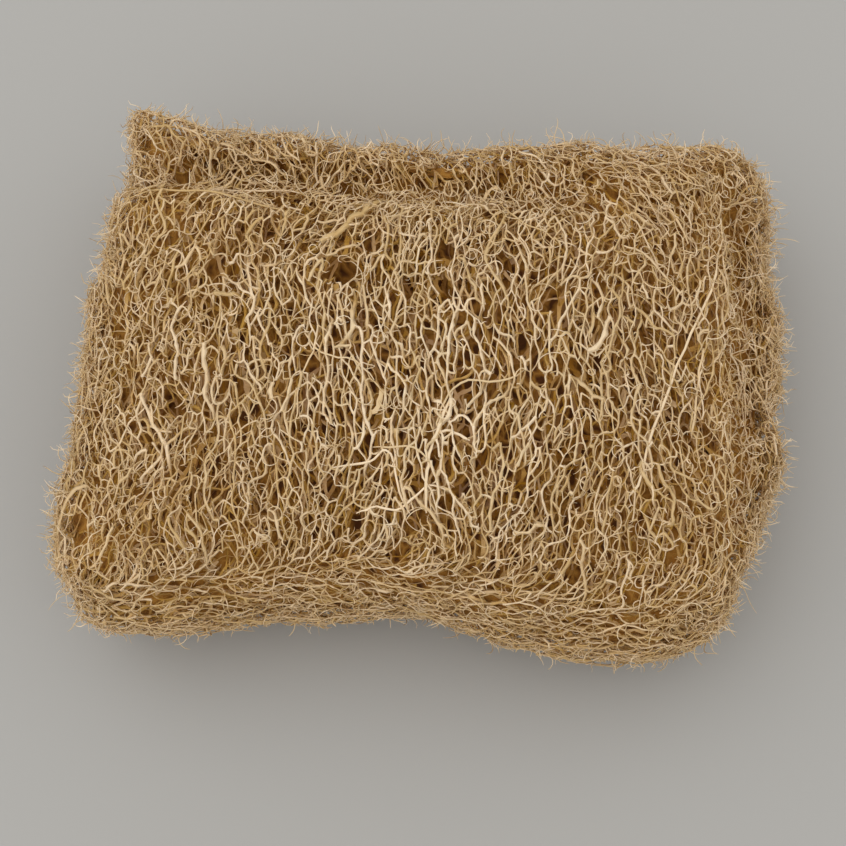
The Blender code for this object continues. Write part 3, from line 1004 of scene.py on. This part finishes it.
def fibre_material():
    """Dry woody fibre: pale outside, golden brown deeper in as painted shade, with fine streaks along
    it.
    """
    material, tree, shader = new_material("dried_fibre_net", FIBRE_ROUGHNESS)
    shader.inputs["Specular IOR Level"].default_value = FIBRE_SHINE
    link = tree.links.new
    depth, tint = attribute_node(tree, "depth"), attribute_node(tree, "tint")
    # Painted shade: the depth attribute moves the colour along the ramp towards darker browns
    ramp = colour_ramp(tree, FIBRE_AND_SHADE_COLOURS, depth.outputs["Fac"])
    place = tree.nodes.new("ShaderNodeTexCoord")
    blotch = noise_node(tree, place.outputs["Object"], BLOTCHES)
    added = math_node(tree, "ShaderNodeMath", "ADD", tint.outputs["Fac"], blotch.outputs["Fac"])
    shade = add_node(
        tree, "ShaderNodeMapRange",
        From_Min=SHADE_FROM[0], From_Max=SHADE_FROM[1], To_Min=SHADE_TO[0], To_Max=SHADE_TO[1],
    )
    link(added.outputs[0], shade.inputs["Value"])
    shaded = math_node(tree, "ShaderNodeVectorMath", "SCALE", ramp.outputs["Color"])
    link(shade.outputs["Result"], shaded.inputs["Scale"])
    pale = add_node(tree, "ShaderNodeMapRange", To_Min=SATURATION[0], To_Max=SATURATION[1])
    link(tint.outputs["Fac"], pale.inputs["Value"])
    bleached = tree.nodes.new("ShaderNodeHueSaturation")
    link(pale.outputs["Result"], bleached.inputs["Saturation"])
    link(shaded.outputs["Vector"], bleached.inputs["Color"])
    link(bleached.outputs["Color"], shader.inputs["Base Color"])
    streak = noise_node(tree, attribute_node(tree, "fibre_space").outputs["Vector"], STREAKS)
    bump_from(tree, shader, streak.outputs["Fac"], STREAK_BUMP)
    return material


def new_object(name, data):
    thing = bpy.data.objects.new(name, data)
    bpy.context.scene.collection.objects.link(thing)
    return thing


def add_piece(name, mesh, material):
    mesh.materials.append(material)
    piece = new_object(name, mesh)
    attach(piece, BODY)
    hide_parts(NODE)


def core_mesh():
    """Matted fibres deep in the sponge, which close the view through the net."""
    rings, spokes = CORE_RINGS, CORE_SPOKES
    verts, faces, normals, rims = [], [], [], []
    spoke = np.linspace(-math.pi, math.pi, spokes, endpoint=False)
    share = np.linspace(0.0, 1.0, rings + 1)[1:, None]
    for s, side in enumerate(SIDES):
        edge = radius_at(spoke) + side.wrap
        flat = np.stack([share * edge * np.cos(spoke), share * edge * np.sin(spoke)], -1)
        flat = np.concatenate([flat.reshape(-1, 2), [[0.0, 0.0]]])
        place, normal, _, _ = FORM.at(s, flat)
        to_rim = smooth_step((side.share(flat) - CORE_RIM_FROM) / CORE_RIM_FADE)
        sink = CORE_DEPTH * (1.0 - CORE_RIM * to_rim)
        to_pit = np.hypot(place[:, 0] - PIT_CENTRE[0], place[:, 1] - PIT_CENTRE[1])
        sink += CORE_PIT_DEPTH * ridge(to_pit, CORE_PIT_WIDTH) * side.above
        sink = sink + CORE_LUMP_HEIGHT * field(place, CORE_LUMP_SIZE, CORE_LUMPS)
        place = place - normal * sink[:, None]
        base = len(verts)
        verts.extend(place)
        normals.append(normal)
        ring = base + np.arange(rings * spokes).reshape(rings, spokes)
        after = np.roll(ring, -1, 1)
        quads = np.stack([ring[:-1], ring[1:], after[1:], after[:-1]], -1)
        middle = np.full(spokes, base + rings * spokes)
        fan = np.stack([middle, ring[0], after[0]], -1)
        order = 1 if side.above else -1
        faces += quads.reshape(-1, quads.shape[-1])[:, ::order].tolist() + fan[:, ::order].tolist()
        rims.append((ring[-1], after[-1]))
    (upper, upper_after), (lower, lower_after) = rims
    faces += np.stack([upper, lower, lower_after, upper_after], -1).tolist()
    mesh = bpy.data.meshes.new("deep_fibres")
    mesh.from_pydata([tuple(v * MM) for v in verts], [], faces)
    mesh.shade_smooth()
    middle = calm(np.array(verts), np.concatenate(normals))
    # Painted shade of the matted fibres, darkest under the calm middle of the top
    add_attribute(mesh, "depth", OFF_MIDDLE_SHADE_SHARE + (1.0 - OFF_MIDDLE_SHADE_SHARE) * middle)
    return mesh


def core_material():
    """Matted fibres: a net of golden strands over dark brown, the darkness painted shade for the inside
    of the sponge.
    """
    material, tree, shader = new_material("dried_fibre_core", CORE_ROUGHNESS)
    link = tree.links.new
    place = tree.nodes.new("ShaderNodeTexCoord")
    wander = noise_node(tree, place.outputs["Object"], WANDER)
    shift = tree.nodes.new("ShaderNodeVectorMath")
    shift.operation = "MULTIPLY_ADD"
    shift.inputs[1].default_value = CELL_SHIFT
    link(wander.outputs["Color"], shift.inputs[0])
    link(place.outputs["Object"], shift.inputs[2])
    squash = math_node(tree, "ShaderNodeVectorMath", "MULTIPLY", shift.outputs["Vector"])
    squash.inputs[1].default_value = CELL_SQUASH
    cells = add_node(tree, "ShaderNodeTexVoronoi", Scale=CELL_SCALE)
    cells.feature = "DISTANCE_TO_EDGE"
    link(squash.outputs["Vector"], cells.inputs["Vector"])
    depth_shade = attribute_node(tree, "depth")
    inward = math_node(
        tree, "ShaderNodeMath", "MULTIPLY", cells.outputs["Distance"], depth_shade.outputs["Fac"]
    )
    # Painted shade: darker away from the strands, and more so under the calm middle of the top
    ramp = colour_ramp(tree, CORE_SHADE_COLOURS, inward.outputs[0])
    link(ramp.outputs["Color"], shader.inputs["Base Color"])
    bump = bump_from(tree, shader, cells.outputs["Distance"], CORE_BUMP)
    bump.invert = True
    return material


def add_floor():
    bpy.ops.mesh.primitive_plane_add(size=FLOOR_SIZE, location=(0.0, 0.0, 0.0))
    floor = bpy.context.object
    floor.name = "floor"
    material, _, shader = new_material("pale_floor", FLOOR_ROUGHNESS)
    shader.inputs["Base Color"].default_value = (*FLOOR_COLOUR, 1.0)
    floor.data.materials.append(material)


def add_key_light():
    """A large soft light that points at the sponge's foot."""
    light = bpy.data.lights.new("key", "AREA")
    light.size = KEY_SIZE
    light.energy = KEY_POWER
    lamp = new_object("key", light)
    lamp.location = KEY_PLACE
    lamp.rotation_euler = (-Vector(KEY_PLACE)).to_track_quat("-Z", "Y").to_euler()


def add_camera():
    elevation = math.radians(CAMERA_ELEVATION)
    back = Vector((0.0, -math.cos(elevation), math.sin(elevation)))
    data = bpy.data.cameras.new("camera")
    data.lens = CAMERA_LENS
    data.sensor_width = CAMERA_SENSOR
    camera = new_object("camera", data)
    camera.location = Vector(CAMERA_TARGET) + back * CAMERA_DISTANCE
    camera.rotation_euler = back.to_track_quat("Z", "Y").to_euler()
    bpy.context.scene.camera = camera


def add_sky():
    world = bpy.data.worlds.new("world")
    bpy.context.scene.world = world
    world.use_nodes = True
    back = world.node_tree.nodes["Background"]
    back.inputs["Color"].default_value = SKY_COLOUR
    back.inputs["Strength"].default_value = SKY_STRENGTH


def main():
    bpy.context.scene.view_settings.view_transform = "Standard"
    add_camera()
    add_sky()
    add_floor()
    add_key_light()
    material = fibre_material()
    net = Crossings()
    pairs = links(net)
    cut = cut_links(net, pairs)
    outer, inner = net_fibres(net, pairs[~cut])
    loose = loose_ends(net, pairs, cut).joined()
    normal = fibre_normals(loose)
    upper = normal[:, 2] > LOOSE_UPPER_FACE
    ends = ~upper & (np.abs(normal[:, 0]) > END_FACE)
    for part, mask in (("upper", upper), ("ends", ends), ("lower", ~upper & ~ends)):
        name = f"loose_ends_{part}"
        add_piece(name, tube_mesh(name, selected(loose, mask), TUBE_SIDES), material)
    over = tube_mesh("long_strands", long_strands().joined(), LONG_SIDES)
    add_piece("long_strands", over, material)
    nets = (("surface_net", outer, TUBE_SIDES), ("inner_net", inner, STRIP_SIDES))
    for label, fibres, sides in nets:
        data = fibres.joined()
        normal = fibre_normals(data)
        top, under = normal[:, 2] > TOP_FACE, normal[:, 2] < UNDER_FACE
        for part, mask in (("top", top), ("under", under), ("sides", ~top & ~under)):
            name = f"{label}_{part}"
            add_piece(name, tube_mesh(name, selected(data, mask), sides), material)
    add_piece("deep_fibres", core_mesh(), core_material())


main()
bpy.context.view_layer.update()
